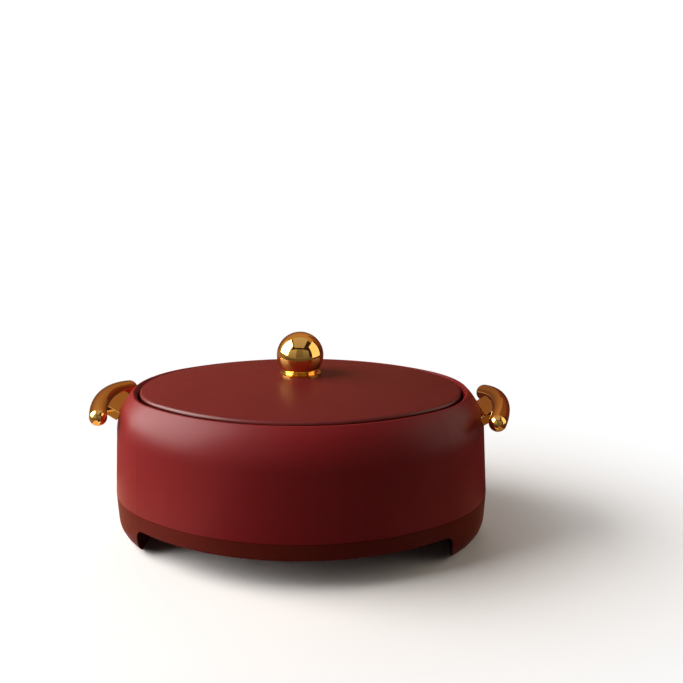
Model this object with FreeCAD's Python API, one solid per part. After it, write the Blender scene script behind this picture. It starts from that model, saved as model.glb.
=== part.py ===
"""Oval insulated serving casserole with a lift-off lid.

A moulded body and a steel bowl hold insulating foam between them.  A darker base ring with two
arched feet closes the body from below.  Two bowed gold bars are the handles, and the domed lid
has a ball knob on a flared collar.

Millimetres.  The origin is on the table under the middle of the pot, +Z is up and +X points to
the right handle.  Every plan outline is an oval of four arcs.  The edge of the lid is the reference
oval, and a "grow" says how far another oval lies outside it, all the way round.
"""
import FreeCAD, Part
import math
import os
from FreeCAD import Vector

# ---- driving sizes ---------------------------------------------------------------------------
lid_half_length = 122.7      # the reference oval, along the handles
lid_half_width = 87.1        # and across them
oval_end_radius = 66.5       # of its two end arcs

rim_height = 112.8           # edge of the lid above the table
seam_height = 35.0           # where the body meets the base ring
arch_height = 23.0           # clear height under the base ring, between the feet

# fits between pieces
foam_gap = 0.25              # foam to the walls around it
seam_gap = 0.4               # shadow line between body and base ring
slide_fit = 0.3              # pieces that push together by hand
screw_fit = 0.1              # a screw in its hole
lid_fit = 1.5                # lid edge to the wall of the well it drops into
rim_fit = 0.6                # rim of the bowl to the same wall
ledge_clearance = 1.9        # side of the bowl to the ledge that carries its rim
plug_fit = 1.6               # steel dish of the lid to the inside of the bowl
seat_gap = 0.3               # lid edge above the rim of the bowl

# ---- body shell ------------------------------------------------------------------------------
shell_wall = 2.6
shell_foot_grow = 21.25      # widest, at the seam
wall_lean = 0.064            # how much the wall leans in for each millimetre of height
shoulder_radius = 42.0
crest_grow = 4.8             # top of the lip, before it is rounded
crest_drop = 0.1             # below the lid edge
crest_slope = 0.963          # run over rise of the shoulder where it reaches the lip
crest_radius = 1.2
chamfer_depth = 3.6          # the lip falls inwards to the well over this height
chamfer_radius = 1.5
ledge_drop = 14.0            # from lid edge down to the ledge that carries the bowl
ledge_thickness = 2.5
inner_corner_radius = 8.0

# screw bosses of the shell, which take the base screws
boss_angle = 60.0            # direction that the boss faces, from +X
boss_radius = 4.5
boss_inset = 2.3             # middle of a boss inside the collar of the base ring
boss_top = 65.0
boss_rib = 2.0

# ---- steel bowl ------------------------------------------------------------------------------
steel = 0.6
bowl_grow = -6.6             # inner face at the top
bowl_lean = 0.05
bowl_floor = 38.0            # inner floor above the table
bowl_corner_radius = 15.0

# ---- base ring and feet ----------------------------------------------------------------------
base_wall = 2.6
base_lean = 0.049
turn_in_height = 7.0         # height of the corner where the side turns in
turn_in_radius = 20.0
turn_in_lift = 0.9           # the inner corner is higher, so the wall keeps its thickness
sole_grow = 11.7
sole_height = 0.8            # plastic sole above the table, the rest is rubber
tongue_height = 6.0          # collar of the base ring that enters the body
tongue_wall = 2.2
web_rise = 3.0               # floor of the base ring above the arches
web_thickness = 2.6
foot_inset = 8.7             # the feet begin this far inside the ends of the lid, left and right
arch_radius = 6.0
foot_rib_offset = 34.0       # stiffening ribs inside each foot, from the long axis

pad_radius = 5.5
pad_recess = 1.2             # the pads are glued this deep into the soles
pad_inset = 6.4              # from the inner end of a foot to the middle of its pads
pad_y = 24.0

base_screw_radius = 1.5
base_screw_grip = 14.0
base_screw_head_radius = 3.2
base_screw_head_height = 2.2

plug_radius = 8.0
plug_flange_radius = 10.5
plug_flange_height = 1.6
plug_clearance = 2.8         # its hole stops this far below the bowl

# ---- handles ---------------------------------------------------------------------------------
bar_radius = 6.5
bar_half_chord = 38.5        # between the centres of its round ends, halved
bar_bow = 7.6                # how far the middle stands out from the ends
bar_mid_grow = 29.6          # middle of the bar outside the reference oval
bar_mid_drop = 9.9           # and below the lid edge
handle_tilt = 32.0           # the handle rises outwards from the shoulder
bracket_half_length = 20.5
bracket_thickness = 7.0
bracket_edge = 0.6
handle_reach = 15.8          # middle of the bar to the face of the shoulder
pad_depth = 2.4              # moulded seat behind the wall, for the strip
pad_half_length = 22.0
pad_half_height = 6.5
strip_half_length = 18.0
strip_half_height = 4.2
strip_thickness = 1.5
handle_screw_spacing = 26.0
handle_screw_radius = 2.0
handle_screw_head_radius = 3.4
handle_screw_head_height = 2.4
handle_screw_tip = 1.0       # how far the screw passes the middle of the bar

# ---- lid -------------------------------------------------------------------------------------
dome_rise = 11.0
dome_margin = 25.0           # the block the dome is cut from passes the lid by this
lid_wall = 2.6
lid_edge_radius = 2.4
lid_plug_drop = 6.0          # how far the steel dish reaches into the bowl
lid_dish_radius = 5.0
lid_dish_rim = 0.3           # rim of the dish inside the lid wall
knob_boss_radius = 12.0
knob_boss_depth = 3.0

# ---- knob ------------------------------------------------------------------------------------
ball_radius = 17.75
ball_centre_rise = 14.4      # above the top of the dome
collar_radius = 15.6
collar_neck_radius = 12.6
collar_height = 2.6
collar_rim = 0.9
collar_flare = 1.0           # the flare is hollow by about half of this
knob_screw_radius = 2.5
knob_screw_depth = 15.0      # into the ball
knob_screw_head_radius = 5.0
knob_screw_head_height = 3.0
knob_washer_radius = 8.0
knob_washer_thickness = 1.2

# ---- heights and grows that follow -----------------------------------------------------------
ledge_z = rim_height - ledge_drop
well_grow = lid_fit
ledge_grow = bowl_grow + steel + ledge_clearance
bowl_rim_grow = well_grow - rim_fit
lid_plug_grow = bowl_grow - plug_fit
crest_z = rim_height - crest_drop
web_z = arch_height + web_rise
web_top = web_z + web_thickness
foot_inner_x = lid_half_length - foot_inset
pad_x = foot_inner_x + pad_inset
tongue_grow = shell_foot_grow - wall_lean * tongue_height - shell_wall - slide_fit
boss_grow = tongue_grow - tongue_wall - boss_inset
plug_top = bowl_floor - steel - plug_clearance
bowl_rim_top = ledge_z + steel
lid_foot_z = bowl_rim_top + seat_gap
dome_top = rim_height + dome_rise
dome_reach = lid_half_length + dome_margin
knob_seat = dome_top - lid_wall - knob_boss_depth      # underside of the boss inside the lid
bar_mid_x = lid_half_length + bar_mid_grow
bar_mid_z = rim_height - bar_mid_drop
above_all = 60.0             # long enough to cut right through
flat = 1e-6                  # lengths that differ by less are the same


# ---- ovals and the bodies swept round them ----------------------------------------------------
end_centre = lid_half_length - oval_end_radius
oval_side_radius = ((end_centre ** 2 + lid_half_width ** 2 - oval_end_radius ** 2)
                    / (2 * (lid_half_width - oval_end_radius)))
side_centre = oval_side_radius - lid_half_width
join_angle = math.degrees(math.atan2(side_centre, end_centre))


def sectors():
    """Centre, radius, start and sweep of the oval's four arcs, in degrees from +X."""
    end_sweep = 2 * join_angle
    side_sweep = 180 - end_sweep
    return [
        (Vector(end_centre, 0, 0), oval_end_radius, -join_angle, end_sweep),
        (Vector(0, -side_centre, 0), oval_side_radius, join_angle, side_sweep),
        (Vector(-end_centre, 0, 0), oval_end_radius, 180 - join_angle, end_sweep),
        (Vector(0, side_centre, 0), oval_side_radius, 180 + join_angle, side_sweep),
    ]


def around(centre, reach, degrees, z):
    angle = math.radians(degrees)
    return centre + Vector(reach * math.cos(angle), reach * math.sin(angle), z)


def on_oval(grow, degrees, z):
    """The point of a grown oval where its outside faces the given direction."""
    for centre, radius, start, sweep in sectors():
        if (degrees - start) % 360 <= sweep:
            return around(centre, radius + grow, degrees, z)


def oval(grow, z):
    """The reference oval moved out by grow, at height z."""
    up = Vector(0, 0, 1)
    arcs = [Part.makeCircle(radius + grow, centre + up * z, up, start, start + sweep)
            for centre, radius, start, sweep in sectors()]
    return Part.Wire(arcs)


def disc(grow, z):
    return Part.Face(oval(grow, z))


def oval_plate(grow, z, height):
    return disc(grow, z).extrude(Vector(0, 0, height))


def rounded_corner(before, corner, after, radius):
    """Start, middle and end of the arc that rounds one corner of an outline."""
    p = Vector(before[0], before[1], 0)
    c = Vector(corner[0], corner[1], 0)
    q = Vector(after[0], after[1], 0)
    back = (p - c).normalize()
    ahead = (q - c).normalize()
    half = back.getAngle(ahead) / 2
    inward = (back + ahead).normalize()
    centre = c + inward * (radius / math.sin(half))
    cut = radius / math.tan(half)
    points = [c + back * cut, centre - inward * radius, c + ahead * cut]
    return [(point.x, point.y) for point in points]


def outline_runs(corners, closed):
    """Lines (two points) and arcs (three points) of an outline of (grow, z, corner radius)."""
    count = len(corners)
    stops = []
    for i, (grow, z, radius) in enumerate(corners):
        if radius > 0:
            stops.append(rounded_corner(corners[i - 1], (grow, z), corners[(i + 1) % count], radius))
        else:
            stops.append([(grow, z)])
    runs = []
    for i, stop in enumerate(stops):
        if len(stop) > 1:
            runs.append(stop)
        if closed or i + 1 < count:
            runs.append([stop[-1], stops[(i + 1) % count][0]])
    return runs


def swept_faces(corners, closed):
    """Faces that an outline leaves behind when it travels once round the oval."""
    faces = []
    for centre, radius, start, sweep in sectors():
        for run in outline_runs(corners, closed):
            points = [around(centre, radius + grow, start, z) for grow, z in run]
            curve = Part.LineSegment(*points) if len(points) == 2 else Part.Arc(*points)
            faces += curve.toShape().revolve(centre, Vector(0, 0, 1), sweep).Faces
    return faces


def solid_from(faces):
    shell = Part.Shell(faces)
    shell.sewShape()
    solid = Part.Solid(shell)
    if solid.Volume < 0:
        solid.reverse()
    return solid


def oval_ring(corners):
    """A ring whose cross-section is the closed outline."""
    return solid_from(swept_faces(corners, True))


def oval_block(corners):
    """A solid from the first corner of the outline to the last, flat at both ends."""
    ends = [disc(corners[0][0], corners[0][1]), disc(corners[-1][0], corners[-1][1])]
    return solid_from(swept_faces(corners, False) + ends)


def arc_radius(half_chord, rise):
    return (half_chord ** 2 + rise ** 2) / (2 * rise)


def four_angles(angle):
    return [angle, 180 - angle, 180 + angle, 360 - angle]


def rod(radius, base, height, direction=Vector(0, 0, 1)):
    return Part.makeCylinder(radius, height, base, direction)


def write(name, shape):
    shape.exportStep("parts/" + name + ".step")
    print("%-24s %2d solid(s) %10.0f mm3" % (name, len(shape.Solids), shape.Volume))


# ---- the body shell --------------------------------------------------------------------------
def wall_grow(z):
    """Outside of the body wall, below the shoulder."""
    return shell_foot_grow - wall_lean * (z - seam_height)


def shoulder_corner():
    """Where the line of the wall meets the slope that climbs to the lip."""
    gap = crest_grow + crest_slope * (crest_z - seam_height) - shell_foot_grow
    rise = gap / (crest_slope - wall_lean)
    return wall_grow(seam_height + rise), seam_height + rise


def shell_form():
    """The outside of the body as a solid, up to the lip."""
    corner_grow, corner_z = shoulder_corner()
    return oval_block([
        (shell_foot_grow, seam_height, 0),
        (corner_grow, corner_z, shoulder_radius),
        (crest_grow, crest_z, 0),
    ])


def ledge_corner():
    z = ledge_z - ledge_thickness
    return wall_grow(z) - shell_wall, z


def base_boss_points(z):
    return [on_oval(boss_grow, angle, z) for angle in four_angles(boss_angle)]


def boss_ribs(width, z, height):
    """Upright webs that tie the four bosses to the wall."""
    ribs = []
    for angle, point in zip(four_angles(boss_angle), base_boss_points(z)):
        rib = Part.makeBox(2 * boss_radius, width, height, Vector(0, -width / 2, 0))
        rib.rotate(Vector(0, 0, 0), Vector(0, 0, 1), angle)
        rib.translate(point)
        ribs.append(rib)
    return ribs


def make_outer_shell(form):
    corner_grow, corner_z = shoulder_corner()
    under_grow, under_z = ledge_corner()
    shell = oval_ring([
        (shell_foot_grow, seam_height, 0),
        (corner_grow, corner_z, shoulder_radius),
        (crest_grow, crest_z, crest_radius),
        (well_grow, rim_height - chamfer_depth, chamfer_radius),
        (well_grow, ledge_z, 0),
        (ledge_grow, ledge_z, 0),
        (ledge_grow, under_z, 0),
        (under_grow, under_z, inner_corner_radius),
        (shell_foot_grow - shell_wall, seam_height, 0),
    ])
    bosses = [rod(boss_radius, point, boss_top - web_top) for point in base_boss_points(web_top)]
    rib_foot = seam_height + tongue_height + slide_fit
    ribs = [rib.common(form) for rib in boss_ribs(boss_rib, rib_foot, boss_top - rib_foot)]
    seats = [side(handle_seat()).common(form) for side in handle_sides()]
    shell = shell.fuse(bosses + ribs + seats)
    cuts = [rod(base_screw_radius + screw_fit, point, base_screw_grip)
            for point in base_boss_points(web_top)]
    for side in handle_sides():
        cuts += [side(piece) for piece in [strip_pocket()] + handle_screw_holes()]
    return shell.cut(cuts)


# ---- the steel bowl and the foam round it -----------------------------------------------------
def bowl_form(offset, top):
    """The bowl as a solid: offset 0 is its inside, steel its outside."""
    floor = bowl_floor - offset
    side_grow = bowl_grow - bowl_lean * (ledge_z - bowl_floor) + offset
    return oval_block([
        (side_grow - 2 * bowl_corner_radius, floor, 0),
        (side_grow, floor, bowl_corner_radius + offset),
        (bowl_grow + offset, top, 0),
    ])


def make_liner_bowl():
    outside = bowl_form(steel, bowl_rim_top)
    inside = bowl_form(0, bowl_rim_top)
    rim = oval_plate(bowl_rim_grow, ledge_z, steel)
    return outside.fuse(rim).cut(inside)


def make_body_insulation():
    clear_of_tongue = tongue_grow - tongue_wall - foam_gap
    step_z = seam_height + tongue_height + foam_gap
    under_grow, under_z = ledge_corner()
    foam = oval_block([
        (clear_of_tongue, web_top + foam_gap, 0),
        (clear_of_tongue, step_z, 0),
        (wall_grow(step_z) - shell_wall - foam_gap, step_z, 0),
        (under_grow - foam_gap, under_z - foam_gap, inner_corner_radius),
        (ledge_grow - foam_gap, under_z - foam_gap, 0),
    ])
    cuts = [bowl_form(steel + foam_gap, ledge_z)]
    cuts += [rod(boss_radius + foam_gap, point, boss_top + foam_gap - web_z)
             for point in base_boss_points(web_z)]
    cuts += boss_ribs(boss_rib + 2 * foam_gap, web_z, boss_top + foam_gap - web_z)
    cuts += [side(handle_hardware_room()) for side in handle_sides()]
    cuts.append(rod(plug_radius + foam_gap, Vector(0, 0, web_z), plug_top - web_z))
    return foam.cut(cuts)


# ---- the base ring and its feet ---------------------------------------------------------------
def base_outline(inset, lift):
    """Side of the base ring from the seam to the sole, moved in and up."""
    top_grow = shell_foot_grow - inset
    low_grow = top_grow - base_lean * (seam_height - turn_in_height)
    return [
        (top_grow, seam_height - seam_gap, 0),
        (low_grow, turn_in_height + lift, turn_in_radius - inset),
        (sole_grow - inset, sole_height, 0),
    ]


def arch_cutter():
    """The space under the pot between the feet, with round upper corners."""
    below = -arch_radius
    width = lid_half_width + above_all
    block = Part.makeBox(2 * foot_inner_x, 2 * width, arch_height - below,
                         Vector(-foot_inner_x, -width, below))
    top = [edge for edge in block.Edges
           if abs(edge.CenterOfMass.z - arch_height) < flat and abs(edge.CenterOfMass.y) < flat]
    return block.makeFillet(arch_radius, top)


def pad_points(z):
    return [Vector(x, y, z) for x in (-pad_x, pad_x) for y in (-pad_y, pad_y)]


def between_feet(z, height):
    """A slab that spans the arch and the cross walls at both its ends."""
    reach = foot_inner_x + base_wall
    width = lid_half_width + above_all
    return Part.makeBox(2 * reach, 2 * width, height, Vector(-reach, -width, z))


def foot_walls():
    """The inner end wall of each foot and the ribs across it, before they are trimmed to it."""
    width = lid_half_width + above_all
    reach = lid_half_length + shell_foot_grow
    height = web_z - sole_height
    ends = [Part.makeBox(base_wall, 2 * width, height, Vector(x, -width, sole_height))
            for x in (-foot_inner_x - base_wall, foot_inner_x)]
    ribs = [Part.makeBox(2 * reach, base_wall, height, Vector(-reach, y - base_wall / 2, sole_height))
            for y in (-foot_rib_offset, 0, foot_rib_offset)]
    return ends + [rib.cut(between_feet(sole_height, height)) for rib in ribs]


def make_base_ring():
    """A tray with a closed hollow foot at each end, open to the inside of the body."""
    form = oval_block(base_outline(0, 0))
    floor = oval_plate(shell_foot_grow, sole_height + base_wall, above_all)
    hollow = oval_block(base_outline(base_wall, turn_in_lift)).common(floor)
    web = oval_plate(shell_foot_grow, web_z, web_thickness)
    foot_mouths = oval_plate(tongue_grow - tongue_wall, web_z, web_thickness)
    web = web.cut(foot_mouths.cut(between_feet(web_z, web_thickness)))
    inside = [piece.common(hollow) for piece in [web] + foot_walls()]
    tongue = oval_plate(tongue_grow, web_top, seam_height + tongue_height - web_top)
    gaps = [oval_plate(tongue_grow - tongue_wall, web_top, above_all)]
    gaps += [rod(boss_radius + slide_fit, point, above_all) for point in base_boss_points(web_top)]
    ring = form.cut([hollow, arch_cutter()]).fuse(inside + [tongue.cut(gaps)])
    holes = [rod(pad_radius + slide_fit, point, pad_recess) for point in pad_points(sole_height)]
    holes += [rod(base_screw_radius + screw_fit, point, web_thickness)
              for point in base_boss_points(web_z)]
    holes.append(rod(plug_radius + screw_fit, Vector(0, 0, web_z), web_thickness))
    return ring.cut(holes)


def make_foot_pads():
    height = sole_height + pad_recess
    return Part.makeCompound([rod(pad_radius, point, height) for point in pad_points(0)])


def make_base_screws():
    screws = []
    for point in base_boss_points(web_z):
        head = rod(base_screw_head_radius, point, base_screw_head_height, Vector(0, 0, -1))
        screws.append(head.fuse(rod(base_screw_radius, point, base_screw_grip)))
    return Part.makeCompound(screws)


def make_foam_plug():
    base = Vector(0, 0, web_z)
    flange = rod(plug_flange_radius, base, plug_flange_height, Vector(0, 0, -1))
    return flange.fuse(rod(plug_radius, base, plug_top - foam_gap - web_z))


# ---- the handles -----------------------------------------------------------------------------
# A handle is drawn in its own frame: X out of the shoulder, Y along the bar, the middle of the
# bar at zero.  handle_sides then tilts it and sets it on the shoulder, right and left.
def to_right(shape):
    placed = shape.copy()
    placed.rotate(Vector(0, 0, 0), Vector(0, 1, 0), -handle_tilt)
    placed.translate(Vector(bar_mid_x, 0, bar_mid_z))
    return placed


def to_left(shape):
    return to_right(shape).mirror(Vector(0, 0, 0), Vector(1, 0, 0))


def handle_sides():
    return [to_right, to_left]


def handle_box(inner, outer, half_length, half_height):
    """A box from inner to outer along the handle's X axis."""
    corner = Vector(inner, -half_length, -half_height)
    return Part.makeBox(outer - inner, 2 * half_length, 2 * half_height, corner)


wall_inside = -(handle_reach + shell_wall + pad_depth)      # face that the strip lies on


def handle_seat():
    return handle_box(wall_inside, -handle_reach + pad_depth, pad_half_length, pad_half_height)


def strip_pocket():
    depth = wall_inside - strip_thickness - handle_screw_head_height - slide_fit
    half_length = strip_half_length + slide_fit
    return handle_box(depth, wall_inside, half_length, strip_half_height + slide_fit)


def handle_hardware_room():
    depth = wall_inside - strip_thickness - handle_screw_head_height - 2 * slide_fit
    half_length = pad_half_length + foam_gap
    return handle_box(depth, -handle_reach + above_all, half_length, pad_half_height + foam_gap)


def bar_torus(radius):
    """The bowed bar without its round ends."""
    bow_radius = arc_radius(bar_half_chord, bar_bow)
    half_angle = math.degrees(math.asin(bar_half_chord / bow_radius))
    axis = Vector(-bow_radius, 0, 0)
    torus = Part.makeTorus(bow_radius, radius, axis, Vector(0, 0, 1), 0, 360, 2 * half_angle)
    torus.rotate(axis, Vector(0, 0, 1), -half_angle)
    return torus


def bar_end_points():
    return [Vector(-bar_bow, y, 0) for y in (-bar_half_chord, bar_half_chord)]


def screw_y():
    return (-handle_screw_spacing / 2, handle_screw_spacing / 2)


def handle_screw_holes():
    start = wall_inside - strip_thickness
    length = handle_screw_tip + slide_fit - start
    radius = handle_screw_radius + screw_fit
    return [rod(radius, Vector(start, y, 0), length, Vector(1, 0, 0)) for y in screw_y()]


def make_handle_bar():
    ends = [Part.makeSphere(bar_radius, point) for point in bar_end_points()]
    return bar_torus(bar_radius).fuse(ends).cut(handle_screw_holes())


def make_handle_bracket(form):
    """A flat block, hollowed to the bar at one end and to the shoulder at the other."""
    block = handle_box(-handle_reach - pad_depth, 0, bracket_half_length, bracket_thickness / 2)
    long_edges = [edge for edge in block.Edges
                  if abs(abs(edge.CenterOfMass.z) - bracket_thickness / 2) < flat
                  and abs(abs(edge.CenterOfMass.y) - bracket_half_length) < flat]
    block = block.makeChamfer(bracket_edge, long_edges)
    block = block.cut([bar_torus(bar_radius)] + handle_screw_holes())
    return to_right(block).cut(form)


def make_handle_strip():
    outer = wall_inside
    strip = handle_box(outer - strip_thickness, outer, strip_half_length, strip_half_height)
    return strip.cut(handle_screw_holes())


def make_handle_screws():
    screws = []
    seat = wall_inside - strip_thickness
    for y in screw_y():
        base = Vector(seat, y, 0)
        head = rod(handle_screw_head_radius, base, handle_screw_head_height, Vector(-1, 0, 0))
        shank = rod(handle_screw_radius, base, handle_screw_tip - seat, Vector(1, 0, 0))
        screws.append(head.fuse(shank))
    return Part.makeCompound(screws)


# ---- the lid ---------------------------------------------------------------------------------
def dome(drop):
    """A block whose top is the dome of the lid, lowered by drop."""
    along = arc_radius(lid_half_length, dome_rise)
    across = arc_radius(lid_half_width, dome_rise)
    edge_z = math.sqrt(across ** 2 - dome_reach ** 2) - across
    left = Vector(0, -dome_reach, edge_z)
    right = Vector(0, dome_reach, edge_z)
    down = Vector(0, 0, -above_all)
    crown = Part.Arc(left, Vector(0, 0, 0), right).toShape()
    rest = Part.makePolygon([right, right + down, left + down, left])
    section = Part.Face(Part.Wire([crown] + rest.Edges))
    axis = Vector(0, 0, -along)
    half_angle = math.degrees(math.asin(dome_reach / along))
    section.rotate(axis, Vector(0, 1, 0), -half_angle)
    block = section.revolve(axis, Vector(0, 1, 0), 2 * half_angle)
    block.translate(Vector(0, 0, dome_top - drop))
    return block


def under_dome(grow, z, drop):
    """An upright oval block from z to the lowered dome."""
    return oval_plate(grow, z, above_all).common(dome(drop))


def make_lid_cover():
    cover = under_dome(0, lid_foot_z, 0)
    rim = [edge for edge in cover.Edges if edge.BoundBox.ZMin > lid_foot_z + flat]
    cover = cover.makeFillet(lid_edge_radius, rim)
    cover = cover.cut(under_dome(-lid_wall, lid_foot_z - lid_wall, lid_wall))
    boss = rod(knob_boss_radius, Vector(0, 0, knob_seat), above_all).common(dome(lid_wall / 2))
    return cover.fuse(boss).cut(rod(knob_screw_radius + screw_fit, Vector(0, 0, knob_seat), above_all))


def dish_outline(offset):
    """Inside (0) or outside (steel) of the lid's steel dish, bottom to top."""
    floor = bowl_rim_top - lid_plug_drop + steel - offset
    grow = lid_plug_grow - steel + offset
    return [
        (grow - 2 * lid_dish_radius, floor, 0),
        (grow, floor, lid_dish_radius + offset),
        (grow, lid_foot_z + steel, 0),
    ]


def make_lid_liner():
    rim = oval_plate(-lid_wall - lid_dish_rim, lid_foot_z, steel)
    return oval_block(dish_outline(steel)).fuse(rim).cut(oval_block(dish_outline(0)))


def make_lid_insulation():
    low = lid_foot_z + steel + foam_gap
    foam = under_dome(-lid_wall - foam_gap, low, lid_wall + foam_gap)
    filling = [(grow - foam_gap, z + foam_gap, radius) for grow, z, radius in dish_outline(0)]
    foam = foam.fuse(oval_block(filling))
    room = knob_washer_thickness + knob_screw_head_height + 2 * foam_gap
    return foam.cut([
        rod(knob_boss_radius + foam_gap, Vector(0, 0, knob_seat - foam_gap), above_all),
        rod(knob_washer_radius + foam_gap, Vector(0, 0, knob_seat - room), above_all),
    ])


# ---- the knob --------------------------------------------------------------------------------
def make_knob_collar():
    """A thin flared foot between ball and lid, hollowed to the dome beneath it."""
    under = Vector(0, 0, -collar_rim)
    edge = Vector(collar_radius, 0, collar_rim)
    hollow = Vector(collar_neck_radius + collar_flare, 0, collar_rim + collar_flare / 2)
    neck = Vector(collar_neck_radius, 0, collar_height)
    below = Part.makePolygon([under, Vector(collar_radius, 0, -collar_rim), edge])
    flare = Part.Arc(edge, hollow, neck).toShape()
    above = Part.makePolygon([neck, Vector(0, 0, collar_height), under])
    outline = Part.Wire(below.Edges + [flare] + above.Edges)
    foot = Part.Face(outline).revolve(Vector(0, 0, 0), Vector(0, 0, 1), 360)
    foot.translate(Vector(0, 0, dome_top))
    hole = rod(knob_screw_radius + screw_fit, Vector(0, 0, knob_seat), above_all)
    return foot.cut([dome(0), hole])


def make_knob_ball():
    ball = Part.makeSphere(ball_radius, Vector(0, 0, dome_top + ball_centre_rise))
    foot = Vector(0, 0, dome_top + collar_height)
    hole = rod(knob_screw_radius + screw_fit, foot, knob_screw_depth + slide_fit)
    return ball.common(rod(ball_radius, foot, above_all)).cut(hole)


def make_knob_washer():
    base = Vector(0, 0, knob_seat - knob_washer_thickness)
    ring = rod(knob_washer_radius, base, knob_washer_thickness)
    return ring.cut(rod(knob_screw_radius + screw_fit, base, knob_washer_thickness))


def make_knob_screw():
    seat = Vector(0, 0, knob_seat - knob_washer_thickness)
    head = rod(knob_screw_head_radius, seat, knob_screw_head_height, Vector(0, 0, -1))
    length = dome_top + collar_height + knob_screw_depth - seat.z
    return head.fuse(rod(knob_screw_radius, seat, length))


# ---- build -----------------------------------------------------------------------------------
def main():
    os.makedirs("parts", exist_ok=True)
    form = shell_form()
    write("outer_shell", make_outer_shell(form))
    write("liner_bowl", make_liner_bowl())
    write("body_insulation", make_body_insulation())
    write("base_ring", make_base_ring())
    write("base_screws", make_base_screws())
    write("foam_plug", make_foam_plug())
    write("foot_pads", make_foot_pads())
    bracket = make_handle_bracket(form)
    for name, side in (("right", to_right), ("left", to_left)):
        write("handle_bar_" + name, side(make_handle_bar()))
        write("handle_screws_" + name, side(make_handle_screws()))
        write("handle_strip_" + name, side(make_handle_strip()))
    write("handle_bracket_right", bracket)
    write("handle_bracket_left", bracket.mirror(Vector(0, 0, 0), Vector(1, 0, 0)))
    write("lid_cover", make_lid_cover())
    write("lid_liner", make_lid_liner())
    write("lid_insulation", make_lid_insulation())
    write("knob_collar", make_knob_collar())
    write("knob_ball", make_knob_ball())
    write("knob_screw", make_knob_screw())
    write("knob_washer", make_knob_washer())


main()
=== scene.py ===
# %% [markdown]
# This lesson dresses an exact shape.  The casserole's pieces come from the CAD frame at their real
# size, in metres, and stay where they are.  What is left to make are the view, the light, the
# finishes, and a few small pieces that are easier to shape by hand than in CAD.

# %% Load the frame
import math
import bpy
from mathutils import Matrix, Vector


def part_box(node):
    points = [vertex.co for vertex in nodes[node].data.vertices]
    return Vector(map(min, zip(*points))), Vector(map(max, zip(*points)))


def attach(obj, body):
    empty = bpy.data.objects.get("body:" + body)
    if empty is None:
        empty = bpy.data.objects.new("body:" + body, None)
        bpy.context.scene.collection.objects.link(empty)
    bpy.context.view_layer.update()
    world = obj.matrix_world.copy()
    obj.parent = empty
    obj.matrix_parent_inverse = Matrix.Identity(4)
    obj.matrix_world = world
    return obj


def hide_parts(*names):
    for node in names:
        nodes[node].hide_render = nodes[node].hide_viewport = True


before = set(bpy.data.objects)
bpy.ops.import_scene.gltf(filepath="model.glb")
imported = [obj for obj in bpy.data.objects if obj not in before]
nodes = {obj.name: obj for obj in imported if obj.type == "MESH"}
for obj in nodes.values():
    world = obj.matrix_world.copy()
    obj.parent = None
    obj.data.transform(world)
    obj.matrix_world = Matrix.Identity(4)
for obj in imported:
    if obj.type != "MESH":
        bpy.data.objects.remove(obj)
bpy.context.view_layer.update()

print("nodes:", ", ".join(sorted(nodes)))

# %% [markdown]
# The camera stands a little above the lid and looks down at the front of the pot.  A camera can be
# aimed by a constraint, but a plain place and two angles are easier to read and to keep.

# %% The view
pixels = 683
focal_pixels = 821.3
sensor_mm = 36.0
camera_place = (0.0594, -0.6064, 0.2871)
camera_pitch = math.radians(77.18)
camera_turn = math.radians(2.63)

camera_data = bpy.data.cameras.new("view")
camera_data.sensor_width = sensor_mm
camera_data.lens = focal_pixels / pixels * sensor_mm
camera = bpy.data.objects.new("view", camera_data)
camera.location = camera_place
camera.rotation_euler = (camera_pitch, 0, camera_turn)
bpy.context.scene.collection.objects.link(camera)
bpy.context.scene.camera = camera
print("lens", round(camera_data.lens, 1), "mm")

# %% [markdown]
# Every material and the sky are small networks of nodes.  A few helpers keep the cells short: they
# add a node and fill in its numbers, turn one range of values into another, mix two shaders, and
# join the last shader to the network's output.

# %% Node helpers
def fill_in(node, numbers):
    """Sets a node's inputs by name, with _ for a space."""
    for name, value in numbers.items():
        node.inputs[name.replace("_", " ")].default_value = value


def add(tree, kind, **numbers):
    """Adds a node and fills in its numbers."""
    node = tree.nodes.new(kind)
    fill_in(node, numbers)
    return node


def remap(tree, source, start, end, low=0.0, high=1.0):
    """Turns values from start to end into values from low to high."""
    node = add(tree, "ShaderNodeMapRange", From_Min=start, From_Max=end, To_Min=low, To_Max=high)
    tree.links.new(source, node.inputs["Value"])
    return node


def mix_shaders(tree, factor, first, second):
    """Shows the first shader where the factor is 0 and the second where it is 1."""
    mix = add(tree, "ShaderNodeMixShader")
    tree.links.new(factor, mix.inputs["Fac"])
    tree.links.new(first.outputs[0], mix.inputs[1])
    tree.links.new(second.outputs[0], mix.inputs[2])
    return mix


def send_out(tree, shader, kind="ShaderNodeOutputMaterial"):
    """Joins the last shader to the network's output."""
    tree.links.new(shader.outputs[0], add(tree, kind).inputs["Surface"])


def blank_material(name):
    """A material whose network is still empty."""
    material = bpy.data.materials.new(name)
    material.use_nodes = True
    material.node_tree.nodes.clear()
    return material, material.node_tree


# %% [markdown]
# The floor and the sky have to be two things at once.  Seen directly, in a mirror or through glass,
# they are the white studio.  For the light that bounces between surfaces they are much darker, or
# the pot would lose its deep shades.  One paint can't be both, so each has two, and the Light Path
# node, which tells the kinds of ray apart, chooses between them.

# %% Which rays look
plain_white = (1, 1, 1, 1)


def seen_rays(tree):
    """1 for camera, mirror and see-through rays, and 0 for the rays that carry soft light."""
    path = add(tree, "ShaderNodeLightPath")
    answer = path.outputs["Is Camera Ray"]
    for kind in ("Is Glossy Ray", "Is Transmission Ray"):
        either = add(tree, "ShaderNodeMath")
        either.operation = "MAXIMUM"
        tree.links.new(answer, either.inputs[0])
        tree.links.new(path.outputs[kind], either.inputs[1])
        answer = either.outputs[0]
    return answer


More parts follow.
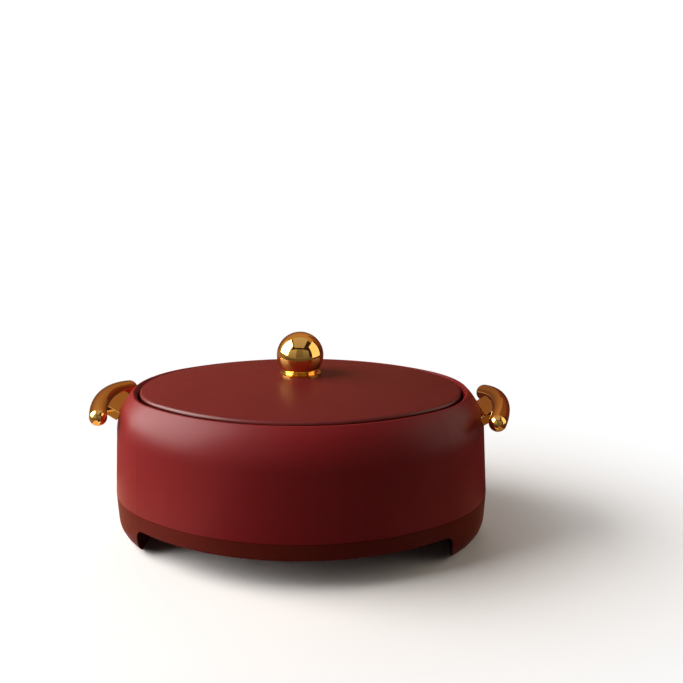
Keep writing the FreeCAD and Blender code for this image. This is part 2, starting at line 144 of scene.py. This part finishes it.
# %% [markdown]
# A product of this kind stands on a pale sweep.  The floor is one large plane: near the pot it is
# pale paper that takes the shadow, and further out it fades to plain white, so its end can't be
# told from the white sky.  The fade follows the pot's oval, which is the oval of its lid.  It could
# be measured on the lid's mesh, but the flat triangles stop just short of the oval's two ends.

# %% The floor
floor_size = 8.0
paper_colour = (0.88, 0.87, 0.86, 1)
bounce_colour = (0.16, 0.14, 0.13, 1)
fade_start = 0.13
fade_end = 0.46
lid_half_length = 0.1227
lid_half_width = 0.0871
oval_ratio = lid_half_length / lid_half_width


def clear_selection():
    """Operators act on all that is selected, so each step starts with nothing selected."""
    for obj in bpy.context.selected_objects:
        obj.select_set(False)


clear_selection()
bpy.ops.mesh.primitive_plane_add(size=floor_size, location=(0, 0, 0))
floor = bpy.context.active_object
floor.name = "floor"
floor_paint, tree = blank_material("floor paper")
paper = add(tree, "ShaderNodeBsdfDiffuse", Color=paper_colour)
bounce = add(tree, "ShaderNodeBsdfDiffuse", Color=bounce_colour)
white = add(tree, "ShaderNodeEmission", Color=plain_white, Strength=1.0)
where = add(tree, "ShaderNodeTexCoord")
squeeze = add(tree, "ShaderNodeMapping", Scale=(1, oval_ratio, 1))
distance = add(tree, "ShaderNodeVectorMath")
distance.operation = "LENGTH"
tree.links.new(where.outputs["Object"], squeeze.inputs["Vector"])
tree.links.new(squeeze.outputs["Vector"], distance.inputs[0])
fade = remap(tree, distance.outputs["Value"], fade_start, fade_end)
fade.interpolation_type = "SMOOTHSTEP"
shown = mix_shaders(tree, fade.outputs["Result"], paper, white)
send_out(tree, mix_shaders(tree, seen_rays(tree), bounce, shown))
floor.data.materials.append(floor_paint)
print("floor", floor_size, "m square, oval", round(oval_ratio, 3), "to 1")

# %% [markdown]
# The sky works in the same way: plain white where it is seen, and a dim warm light for the rest.  A
# picture of a real studio could light the pot too, but two plain colours are easier to steer.

# %% The sky
sky_level = 0.06
sky_colour = (1.0, 0.92, 0.88, 1)

world = bpy.data.worlds.new("studio")
bpy.context.scene.world = world
world.use_nodes = True
tree = world.node_tree
tree.nodes.clear()
dim = add(tree, "ShaderNodeBackground", Color=sky_colour, Strength=sky_level)
bright = add(tree, "ShaderNodeBackground", Color=plain_white, Strength=1.0)
send_out(tree, mix_shaders(tree, seen_rays(tree), dim, bright), "ShaderNodeOutputWorld")
bpy.context.scene.view_settings.view_transform = "Standard"
print("sky", sky_level)

# %% [markdown]
# Satin plastic and mirror gold are both shaped by large soft windows.  A bright one stands on the
# left: it rolls over the shoulder as a soft highlight and shows as a white patch in every ball.  A
# dimmer warm one opens the right side.  A third lamp behind lights the back, and is kept out of
# reflections, so that it leaves no streak on the lid.

# %% The windows
def aimed(place, target, side):
    """The turn that points a side of an object, such as -Z, from its place to a target."""
    return (Vector(target) - Vector(place)).to_track_quat(side, "Y").to_euler()


def soft_lamp(name, place, target, width, height, radiance, colour):
    """A rectangle of light, as bright as radiance says, where 1 is white paper in full light."""
    data = bpy.data.lights.new(name, "AREA")
    data.shape = "RECTANGLE"
    data.size = width
    data.size_y = height
    data.energy = radiance * math.pi * width * height
    data.color = colour
    lamp = bpy.data.objects.new(name, data)
    lamp.location = place
    lamp.rotation_euler = aimed(place, target, "-Z")
    lamp.visible_camera = False
    bpy.context.scene.collection.objects.link(lamp)
    print(name, round(data.energy, 1), "W")
    return lamp


soft_lamp("left window", place=(-1.0, -0.17, 0.83), target=(0, -0.17, 0.54),
          width=1.12, height=1.25, radiance=8.4, colour=(1.0, 0.96, 0.93))
soft_lamp("right window", place=(1.0, 0.05, 0.56), target=(0, 0.05, 0.45),
          width=1.0, height=1.1, radiance=1.3, colour=(1.0, 0.87, 0.72))
back_lamp = soft_lamp("back lamp", place=(0.1, 1.2, 0.9), target=(0, 0, 0.07),
                      width=0.9, height=0.6, radiance=2.0, colour=(1.0, 0.95, 0.92))
back_lamp.visible_glossy = False

# %% [markdown]
# Polished metal shows the whole room.  So cards stand round the set, as in a studio, and are seen
# only in reflections.  A card could be lit by a lamp, but one that glows by itself keeps the tone
# that it is given.  It can shade from a low tone at one edge to a high tone at the other.  Cards
# that stand face the middle of the set, and cards that lie face a height inside it.

# %% How a card is made
half_side = 0.5
inside_z = 1.0


def card(name, place, target, width, height, low_tone, high_tone=None):
    """A sheet that faces a target, seen only in reflections."""
    paint, tree = blank_material(name)
    where = add(tree, "ShaderNodeTexCoord")
    split = add(tree, "ShaderNodeSeparateXYZ")
    shade = add(tree, "ShaderNodeMapRange")
    shade.data_type = "FLOAT_VECTOR"
    limits = {socket.name: socket for socket in shade.inputs if socket.type == "VECTOR"}
    limits["From Min"].default_value = (-half_side,) * 3
    limits["From Max"].default_value = (half_side,) * 3
    limits["To Min"].default_value = low_tone
    limits["To Max"].default_value = high_tone or low_tone
    glow = add(tree, "ShaderNodeEmission")
    tree.links.new(where.outputs["Object"], split.inputs["Vector"])
    tree.links.new(split.outputs["Y"], limits["Vector"])
    tree.links.new(shade.outputs["Vector"], glow.inputs["Color"])
    send_out(tree, glow)

    clear_selection()
    bpy.ops.mesh.primitive_plane_add(size=2 * half_side, location=place)
    sheet = bpy.context.active_object
    sheet.name = name
    sheet.scale = (width, height, 1)
    sheet.rotation_euler = aimed(place, target, "Z")
    sheet.data.materials.append(paint)
    sheet.visible_camera = False
    sheet.visible_diffuse = False
    sheet.visible_shadow = False
    sheet.visible_transmission = False


def wall(name, y, across, upward, *tones):
    """A card that stands across the set at y, over a range of x and a range of z."""
    x = sum(across) / 2
    z = sum(upward) / 2
    card(name, (x, y, z), (x, 0, z), across[1] - across[0], upward[1] - upward[0], *tones)


def level(name, z, across, along, *tones):
    """A card that lies level at z, over a range of x and a range of y."""
    x = sum(across) / 2
    y = sum(along) / 2
    card(name, (x, y, z), (x, y, inside_z), across[1] - across[0], along[1] - along[0], *tones)


# %% [markdown]
# The cards round the set give the gold its outlines and its olive middle.  Behind the pot they are
# brown and grow paler upwards.  In front, three pale panels stand apart before a dark wall, so that
# a ball shows dark bars between them.  The left end is pale and the right end dark.  The ceiling is
# dark in front and brown behind, and one pale card hangs below it.

# %% The cards round the set
back_y = 1.8
front_y = -1.75
dark_front_y = -2.0
end_x = 2.2
room_depth = 5.0
room_top = 2.2
ceiling_z = 2.0
low_range = (-0.01, 0.81)
high_range = (0.80, 2.10)
panel_range = (0.01, 1.63)
full_width = (-3.0, 3.0)
dark_tone = (0.035, 0.022, 0.018)
warm_low = (0.12, 0.045, 0.030)
warm_middle = (0.30, 0.145, 0.060)
warm_high = (0.52, 0.33, 0.20)

wall("back card", back_y, (-2.5, 0.35), low_range, warm_low, warm_middle)
wall("low right back card", back_y, (0.35, 2.5), low_range, (0.08, 0.016, 0.010), (0.19, 0.050, 0.026))
wall("high back card", back_y, (-2.5, 0.7), high_range, warm_middle, warm_high)
wall("right back card", back_y, (0.7, 3.1), high_range, (0.20, 0.070, 0.035), (0.24, 0.100, 0.060))
wall("front wall left", front_y, (-2.08, -0.42), panel_range, (0.28, 0.26, 0.22), (0.56, 0.53, 0.48))
wall("front wall middle", front_y, (-0.375, 0.475), panel_range, (0.15, 0.13, 0.10), (0.25, 0.22, 0.19))
wall("front wall right", front_y, (0.52, 2.18), panel_range, (0.17, 0.16, 0.13), (0.34, 0.32, 0.28))
wall("dark front wall", dark_front_y, full_width, (0.0, room_top), dark_tone)

half_height = room_top / 2
card("left end", (-end_x, 0, half_height), (0, 0, half_height), room_depth, room_top,
     (0.30, 0.22, 0.15), (0.75, 0.66, 0.55))
card("right end", (end_x, 0, half_height), (0, 0, half_height), room_depth, room_top, dark_tone)
level("ceiling", ceiling_z, (-0.95, 0.95), (-1.65, 0.65), (0.44, 0.40, 0.36), (0.56, 0.51, 0.46))
level("dark ceiling", room_top, full_width, (-2.3, 0.4), dark_tone)
level("back ceiling", room_top, full_width, (0.4, 2.3), (0.48, 0.31, 0.15))
print("cards", ceiling_z, "m high, from", dark_front_y, "to", back_y, "m")

# %% [markdown]
# Cloths lie on the floor round the pot.  They keep its wall and the undersides of the gold from
# mirroring the white floor, and the paler ones at the sides put a warm haze on the wall's two ends.
# The four small ones beside the pot lie a little higher, because some overlap a large one.

# %% The cloths on the floor
cloth_z = 0.002
upper_cloth_z = 0.003

level("front cloth", cloth_z, (-2.0, 2.0), (-1.74, -0.22), (0.12, 0.105, 0.09))
level("near cloth", cloth_z, (-0.12, 0.19), (-0.222, -0.122), (0.02, 0.008, 0.006))
level("left cloth", cloth_z, (-2.2, -0.24), (-0.3, 1.8), (0.34, 0.21, 0.14))
level("right cloth", cloth_z, (0.24, 2.2), (-0.3, 1.8), (0.10, 0.035, 0.020))
level("back cloth", cloth_z, (-0.24, 0.24), (0.03, 1.8), (0.08, 0.022, 0.014))
level("left front cloth", upper_cloth_z, (-0.28, -0.14), (-0.37, -0.22), (0.33, 0.20, 0.11))
level("right front cloth", upper_cloth_z, (0.14, 0.28), (-0.37, -0.22), (0.18, 0.085, 0.035))
level("left side cloth", upper_cloth_z, (-0.24, -0.14), (-0.22, 0.06), (1.0, 0.72, 0.46))
level("right side cloth", upper_cloth_z, (0.14, 0.24), (-0.22, 0.03), (0.36, 0.21, 0.11))
print("cloths", 1000 * cloth_z, "mm above the floor")

# %% [markdown]
# Moulded plastic is never a single colour.  Up close it has a fine spark-eroded grain, the pigment
# flows in faint streaks, and handling leaves areas that shine a little more.  All three come from
# noise on the piece's own coordinates.  They sit in one node group, because every moulding of the
# pot shares them, and each material sets how coarse its grain and its streaks are.

# %% The surface of a moulding
def new_group(name):
    """A node group with its two ends in place."""
    group = bpy.data.node_groups.new(name, "ShaderNodeTree")
    return group, add(group, "NodeGroupInput"), add(group, "NodeGroupOutput")


def group_socket(group, name, direction):
    """Gives a group an input or an output for numbers."""
    group.interface.new_socket(name=name, in_out=direction, socket_type="NodeSocketFloat")


moulding, entry, leave = new_group("moulded surface")
place = add(moulding, "ShaderNodeTexCoord")
noises = {
    "Grain": add(moulding, "ShaderNodeTexNoise", Detail=3.0, Roughness=0.55),
    "Cloud": add(moulding, "ShaderNodeTexNoise", Detail=4.0, Roughness=0.5),
    "Sheen Patch": add(moulding, "ShaderNodeTexNoise", Scale=38.0, Detail=5.0, Roughness=0.6),
}
for name, noise in noises.items():
    group_socket(moulding, name, "OUTPUT")
    moulding.links.new(place.outputs["Object"], noise.inputs["Vector"])
    moulding.links.new(noise.outputs["Fac"], leave.inputs[name])
for name in ("Grain", "Cloud"):
    group_socket(moulding, name + " Scale", "INPUT")
    moulding.links.new(entry.outputs[name + " Scale"], noises[name].inputs["Scale"])
print("group:", moulding.name)

# %% [markdown]
# A material takes masks from a group and turns each one into what its shader needs.  Noise rarely
# leaves its middle range, so that range is what gets spread over two colours or two roughnesses.
# Numbers that are the same all over the surface are set on the shader itself.

# %% Material helpers
noise_low = 0.3
noise_high = 0.7


def spread(tree, source, low, high):
    """Turns the middle range of a noise into values from low to high."""
    return remap(tree, source, noise_low, noise_high, low, high).outputs["Result"]


def tint(tree, mask, first, second):
    """Blends two colours by a mask.  Each is three numbers, or the socket that gives the colour."""
    blend = add(tree, "ShaderNodeMix")
    blend.data_type = "RGBA"
    colour_sockets = [socket for socket in blend.inputs if socket.type == "RGBA"]
    for socket, colour in zip(colour_sockets, (first, second)):
        if isinstance(colour, tuple):
            socket.default_value = (*colour, 1)
        else:
            tree.links.new(colour, socket)
    tree.links.new(mask, blend.inputs["Factor"])
    return next(socket for socket in blend.outputs if socket.type == "RGBA")


def new_material(name, specular=0.5):
    """A material with one Principled shader, still plain."""
    material = bpy.data.materials.new(name)
    material.use_nodes = True
    shader = material.node_tree.nodes["Principled BSDF"]
    shader.inputs["Specular IOR Level"].default_value = specular
    return material, material.node_tree, shader


def place_group(tree, group, **numbers):
    """Puts a node group into a material, with the material's own values."""
    surface = add(tree, "ShaderNodeGroup")
    surface.node_tree = group
    fill_in(surface, numbers)
    return surface


def bump(tree, shader, height, strength, depth):
    """Lets a mask raise the surface by a depth in metres."""
    relief = add(tree, "ShaderNodeBump", Strength=strength, Distance=depth)
    tree.links.new(height, relief.inputs["Height"])
    tree.links.new(relief.outputs["Normal"], shader.inputs["Normal"])


# %% [markdown]
# The pot has three plastics: the maroon of the body, a browner maroon for the lid, which is
# moulded apart, and a darker matte one for the base ring.  A plain Principled shader gives the
# satin.  Its specular level is low, because these mouldings are textured and hardly mirror.

# %% The plastics
grain_strength = 0.25


def plastic(name, dark, light, roughness, specular, grain_depth, grain_scale, cloud_scale):
    """A moulded material that flows from a dark tone to a light one and has its own grain."""
    material, tree, shader = new_material(name, specular)
    surface = place_group(tree, moulding, Grain_Scale=grain_scale, Cloud_Scale=cloud_scale)
    flow = spread(tree, surface.outputs["Cloud"], 0.0, 1.0)
    tree.links.new(tint(tree, flow, dark, light), shader.inputs["Base Color"])
    sheen = spread(tree, surface.outputs["Sheen Patch"], *roughness)
    tree.links.new(sheen, shader.inputs["Roughness"])
    bump(tree, shader, surface.outputs["Grain"], grain_strength, grain_depth)
    return material


body_maroon = plastic("maroon body plastic", roughness=(0.37, 0.44), specular=0.235,
                      dark=(0.176, 0.0055, 0.0075), light=(0.200, 0.0065, 0.0090),
                      grain_depth=2e-5, grain_scale=2600.0, cloud_scale=14.0)
lid_maroon = plastic("brown maroon lid plastic", roughness=(0.38, 0.46), specular=0.12,
                     dark=(0.121, 0.0102, 0.0098), light=(0.136, 0.0118, 0.0115),
                     grain_depth=2e-5, grain_scale=2600.0, cloud_scale=14.0)
base_maroon = plastic("dark base plastic", roughness=(0.46, 0.56), specular=0.06,
                      dark=(0.106, 0.0115, 0.0065), light=(0.122, 0.013, 0.0075),
                      grain_depth=3e-5, grain_scale=2200.0, cloud_scale=18.0)
for maroon in (body_maroon, lid_maroon, base_maroon):
    print("plastic:", maroon.name)

# %% [markdown]
# The edge of a lid is what fingers and cloths touch most, and they polish its grain away.  The
# dome of this lid is nearly level, and only its edge turns down, so the way the surface faces
# tells where the edge is: the height of its normal is 1 where it is level and 0 where it is
# upright.  A clear coat that is there and nowhere else gives the edge its line.  A new ramp ends in
# white, which would coat the level dome as well, so its end is made black first.

# %% The polished edge of the lid
edge_polish = 0.5
edge_roughness = 0.30
polish_by_normal = {0.10: 0.0, 0.35: edge_polish, 0.80: edge_polish, 0.955: 0.0}

tree = lid_maroon.node_tree
shader = tree.nodes["Principled BSDF"]
surface = add(tree, "ShaderNodeTexCoord")
normal = add(tree, "ShaderNodeSeparateXYZ")
edge = add(tree, "ShaderNodeValToRGB")
stops = edge.color_ramp.elements
stops[1].color = stops[0].color
for normal_height, polish in polish_by_normal.items():
    stops.new(normal_height).color = (polish, polish, polish, 1)
tree.links.new(surface.outputs["Normal"], normal.inputs["Vector"])
tree.links.new(normal.outputs["Z"], edge.inputs["Fac"])
tree.links.new(edge.outputs["Color"], shader.inputs["Coat Weight"])
shader.inputs["Coat Roughness"].default_value = edge_roughness
print("edge polish", edge_polish)

# %% [markdown]
# Under that edge the lid has an upright skirt, which stands in the groove of the lip.  The shade
# that falls in that narrow groove is painted onto the skirt as a darker colour.  The surface's normal
# picks it out once more.  The colour that the shader has so far is read from its link, and the dark
# one is mixed into it.

# %% The painted shade on the skirt of the lid
# Painted shade: the dark colour that the skirt gets, as if the groove's shadow lay on it.
painted_skirt_shade = (0.040, 0.0025, 0.0022)
skirt_normal = 0.02
unshaded_normal = 0.25

# The mask is 0 where the lid is upright, which gets the painted shade, and 1 where it faces up.
unshaded_colour = shader.inputs["Base Color"].links[0].from_socket
unshaded_mask = remap(tree, normal.outputs["Z"], skirt_normal, unshaded_normal)
shaded_lid_colour = tint(tree, unshaded_mask.outputs["Result"], painted_skirt_shade, unshaded_colour)
tree.links.new(shaded_lid_colour, shader.inputs["Base Color"])
print("skirt colour", painted_skirt_shade)

# %% [markdown]
# Gold plating is a mirror with a colour, and a metal's colour is the colour of its reflections.
# Its roughness is almost nothing, and a faint haze from polishing keeps the reflections from
# looking drawn.  The same haze, finer and stronger, breaks up the zinc of the screws, so it is a
# group with its own scale.

# %% The gold and the zinc
haze, entry, leave = new_group("polishing haze")
group_socket(haze, "Scale", "INPUT")
group_socket(haze, "Haze", "OUTPUT")
place = add(haze, "ShaderNodeTexCoord")
noise = add(haze, "ShaderNodeTexNoise", Detail=4.0)
haze.links.new(place.outputs["Object"], noise.inputs["Vector"])
haze.links.new(entry.outputs["Scale"], noise.inputs["Scale"])
haze.links.new(noise.outputs["Fac"], leave.inputs["Haze"])


def polished(name, dark, light, roughness, scale):
    """A metal whose colour and roughness follow the haze from polishing."""
    material, tree, shader = new_material(name)
    shader.inputs["Metallic"].default_value = 1.0
    surface = place_group(tree, haze, Scale=scale)
    mask = spread(tree, surface.outputs["Haze"], 0.0, 1.0)
    tree.links.new(tint(tree, mask, dark, light), shader.inputs["Base Color"])
    tree.links.new(spread(tree, surface.outputs["Haze"], *roughness), shader.inputs["Roughness"])
    return material


gold = polished("gold plating", roughness=(0.025, 0.06), scale=60.0,
                dark=(0.93, 0.53, 0.14), light=(0.95, 0.56, 0.16))
zinc = polished("zinc-plated screw steel", roughness=(0.28, 0.42), scale=400.0,
                dark=(0.50, 0.51, 0.52), light=(0.60, 0.61, 0.63))
print("metals:", gold.name, "and", zinc.name)

# %% [markdown]
# The bowl and the dish under the lid are pressed from stainless sheet and brushed as they turn, so
# their fine lines run round the oval.  Noise that is stretched along one axis gives straight lines
# only.  So the noise is read along two other numbers, which stay the same on the way round: the
# distance from the middle, squeezed to the oval's shape, and the height.

# %% The brushed steel
steel_dark = (0.58, 0.57, 0.55)
steel_light = (0.65, 0.64, 0.62)
steel_roughness = (0.23, 0.34)
brush_strength = 0.2
brush_depth = 1e-5

steel, tree, shader = new_material("brushed bowl steel")
shader.inputs["Metallic"].default_value = 1.0
place = add(tree, "ShaderNodeTexCoord")
squeeze = add(tree, "ShaderNodeMapping", Scale=(1, oval_ratio, 0))
radius = add(tree, "ShaderNodeVectorMath")
radius.operation = "LENGTH"
split = add(tree, "ShaderNodeSeparateXYZ")
pair = add(tree, "ShaderNodeCombineXYZ")
lines = add(tree, "ShaderNodeTexNoise", Scale=2400.0, Detail=3.0)
tree.links.new(place.outputs["Object"], squeeze.inputs["Vector"])
tree.links.new(squeeze.outputs["Vector"], radius.inputs[0])
tree.links.new(place.outputs["Object"], split.inputs["Vector"])
tree.links.new(radius.outputs["Value"], pair.inputs["X"])
tree.links.new(split.outputs["Z"], pair.inputs["Y"])
tree.links.new(pair.outputs["Vector"], lines.inputs["Vector"])
mask = spread(tree, lines.outputs["Fac"], 0.0, 1.0)
tree.links.new(tint(tree, mask, steel_dark, steel_light), shader.inputs["Base Color"])
tree.links.new(spread(tree, lines.outputs["Fac"], *steel_roughness), shader.inputs["Roughness"])
bump(tree, shader, lines.outputs["Fac"], brush_strength, brush_depth)
print("metal:", steel.name)

# %% [markdown]
# Foam fills the walls and rubber pads stop the pot from sliding.  Neither is seen in daily use,
# but both show when the pot is taken apart or turned over.  The foam's grain is coarse, as its
# cells are, and the rubber's is fine.

# %% The foam and the rubber
foam = plastic("rigid foam", roughness=(0.85, 0.95), specular=0.2,
               dark=(0.74, 0.62, 0.36), light=(0.80, 0.70, 0.44),
               grain_depth=2e-4, grain_scale=900.0, cloud_scale=30.0)
rubber = plastic("pad rubber", roughness=(0.70, 0.85), specular=0.3,
                 dark=(0.020, 0.019, 0.018), light=(0.030, 0.028, 0.026),
                 grain_depth=5e-5, grain_scale=3200.0, cloud_scale=60.0)
print("hidden pieces:", foam.name, "and", rubber.name)

# %% [markdown]
# Now the frame puts its finishes on.  Its meshes are exact and stay as they are, so only the
# material slots change.  The pieces inside get their finish too, because the pot can be opened and
# taken apart.

# %% Dress the frame
finishes = {
    "outer_shell": body_maroon, "lid_cover": lid_maroon,
    "base_ring": base_maroon, "foam_plug": base_maroon,
    "liner_bowl": steel, "lid_liner": steel, "body_insulation": foam, "lid_insulation": foam,
    "base_screws": zinc, "knob_screw": zinc, "knob_washer": zinc, "foot_pads": rubber,
    "knob_ball": gold, "knob_collar": gold,
}
for side in ("right", "left"):
    finishes["handle_bar_" + side] = gold
    finishes["handle_bracket_" + side] = gold
    finishes["handle_strip_" + side] = zinc
    finishes["handle_screws_" + side] = zinc
for name, node in nodes.items():
    for slot in node.material_slots:
        slot.material = finishes[name]
    print(name, "->", finishes[name].name, len(node.data.polygons), "triangles")

# %% [markdown]
# Small pieces are shaped here as by hand: a primitive is put at its size and place, then its faces
# and edges are picked by where they are or which way they face, and worked in edit mode.  Picking
# them by number would be shorter, but the numbers change with every operator.

# %% Picking faces and edges
level_normal = 0.99
upright_normal = 0.1


def pick(piece, select_mode):
    """Selects nothing, and says whether corners, edges or faces are to be picked."""
    bpy.context.tool_settings.mesh_select_mode = select_mode
    bpy.ops.object.mode_set(mode="OBJECT")
    for parts in (piece.data.vertices, piece.data.edges, piece.data.polygons):
        for part in parts:
            part.select = False


def pick_faces(piece, wanted):
    """Goes to edit mode with only those faces selected for which wanted(normal) holds."""
    pick(piece, (False, False, True))
    for face in piece.data.polygons:
        face.select = wanted(face.normal)
    bpy.ops.object.mode_set(mode="EDIT")


def pick_lower_rim(piece):
    """Goes to edit mode with the edges below the piece's own origin selected."""
    pick(piece, (False, True, False))
    corner_places = piece.data.vertices
    for edge in piece.data.edges:
        edge.select = all(corner_places[corner].co.z < 0 for corner in edge.vertices)
    bpy.ops.object.mode_set(mode="EDIT")


# %% [markdown]
# A piece that is shaped still has its place in its object.  It is moved into the mesh, so that the
# object sits at the origin, as a CAD node's does.  Then the piece gets its body, its finish and the
# CAD node that it stands for.  What repeats is copied, and each copy has its own mesh.

# %% Finishing a piece
smooth_angle = math.radians(35)


def settle(piece):
    """Leaves edit mode, moves the piece's place into its mesh and smooths its round faces."""
    bpy.ops.object.mode_set(mode="OBJECT")
    bpy.ops.object.transform_apply(location=True, rotation=True, scale=True)
    bpy.ops.object.shade_smooth_by_angle(angle=smooth_angle)


def hand_over(piece, body, node, material):
    """Gives a finished piece its finish, and puts it in the place of its CAD node."""
    piece.data.materials.clear()
    piece.data.materials.append(material)
    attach(piece, body)
    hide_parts(node)


def copies(piece, name, places):
    """Copies a piece from the first place to the others, and returns them all."""
    made = [piece]
    for number, place in enumerate(places[1:], 2):
        twin = piece.copy()
        twin.data = piece.data.copy()
        twin.name = twin.data.name = f"{name}_{number}"
        twin.data.transform(Matrix.Translation(place - places[0]))
        bpy.context.scene.collection.objects.link(twin)
        made.append(twin)
    return made


def corners(node, margin):
    """The places at the four corners of a node's box, a margin in from its sides."""
    low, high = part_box(node)
    return [Vector((x, y, low.z)) for x in (low.x + margin, high.x - margin)
            for y in (low.y + margin, high.y - margin)]


# %% [markdown]
# Four pan-head screws hold the base ring to the shell.  Their heads are seen when the pot is turned
# over, so each has a rounded rim.  A head could be spun from a profile, but a short cylinder is
# quicker: its lower rim is bevelled, and the shank is drawn out of its upper face and ends in a
# small chamfer.  The thread would be hidden in its boss, so the shank stays plain.

# %% The head and the shank
head_radius = 0.0032
head_height = 0.0022
head_rounding = 0.0013
shank_radius = 0.0015
shank_length = 0.014
shank_chamfer = 0.0004
screw_sides = 40
round_steps = 4

screw_places = corners("base_screws", head_radius)
clear_selection()
bpy.ops.mesh.primitive_cylinder_add(vertices=screw_sides, radius=head_radius, depth=head_height,
                                    location=screw_places[0] + Vector((0, 0, head_height / 2)))
screw = bpy.context.active_object
screw.name = "base_screw_1"
pick_lower_rim(screw)
bpy.ops.mesh.bevel(offset=head_rounding, segments=round_steps, affect="EDGES")
pick_faces(screw, lambda normal: normal.z > level_normal)
bpy.ops.mesh.inset(thickness=head_radius - shank_radius)
bpy.ops.mesh.extrude_region_move(TRANSFORM_OT_translate={"value": (0, 0, shank_length)})
bpy.ops.mesh.inset(thickness=shank_chamfer, depth=shank_chamfer)
settle(screw)
print("screw", len(screw.data.polygons), "faces")

# %% [markdown]
# A cross recess takes the driver.  It could be inset from the head's lower face, but a cutter leaves
# the rounded rim as it is.  A small cube becomes a plus when its four upright faces are pushed out,
# and the plus then cuts the recess out of the head.

# %% The cross recess
recess_width = 0.0008
recess_arm = 0.0014
recess_depth = 0.0012

clear_selection()
bpy.ops.mesh.primitive_cube_add(size=1, location=screw_places[0])
cutter = bpy.context.active_object
cutter.scale = (recess_width, recess_width, 2 * recess_depth)
bpy.ops.object.transform_apply(location=False, rotation=False, scale=True)
pick_faces(cutter, lambda normal: abs(normal.z) < upright_normal)
bpy.ops.mesh.inset(thickness=0, depth=recess_arm, use_individual=True)
settle(cutter)

clear_selection()
bpy.context.view_layer.objects.active = screw
screw.select_set(True)
cut = screw.modifiers.new("cross recess", "BOOLEAN")
cut.operation = "DIFFERENCE"
cut.object = cutter
bpy.ops.object.modifier_apply(modifier=cut.name)
bpy.data.objects.remove(cutter)
settle(screw)
for piece in copies(screw, "base_screw", screw_places):
    hand_over(piece, "pot", "base_screws", zinc)
print("base screws", len(screw_places), "of", len(screw.data.polygons), "faces")

# %% [markdown]
# The pot stands on four rubber pads that are glued into round seats in its soles.  A moulded pad has
# a soft rim and a shallow dish underneath, which grips a wet table.  A cylinder is enough for it:
# the lower rim is bevelled, and two insets leave a flat ring and sink the dish.

# %% The foot pads
pad_radius = 0.0055
pad_rounding = 0.0006
pad_rim = 0.0013
pad_sides = 64
dish_depth = 0.0004

pad_places = corners("foot_pads", pad_radius)
pad_low, pad_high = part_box("foot_pads")
pad_height = pad_high.z - pad_low.z
clear_selection()
bpy.ops.mesh.primitive_cylinder_add(vertices=pad_sides, radius=pad_radius, depth=pad_height,
                                    location=pad_places[0] + Vector((0, 0, pad_height / 2)))
pad = bpy.context.active_object
pad.name = "foot_pad_1"
pick_lower_rim(pad)
bpy.ops.mesh.bevel(offset=pad_rounding, segments=round_steps, affect="EDGES")
pick_faces(pad, lambda normal: normal.z < -level_normal)
bpy.ops.mesh.inset(thickness=pad_rim)
bpy.ops.mesh.inset(thickness=dish_depth, depth=-dish_depth)
settle(pad)
for piece in copies(pad, "foot_pad", pad_places):
    hand_over(piece, "pot", "foot_pads", rubber)
print("foot pads", len(pad_places), "of", len(pad.data.polygons), "faces")
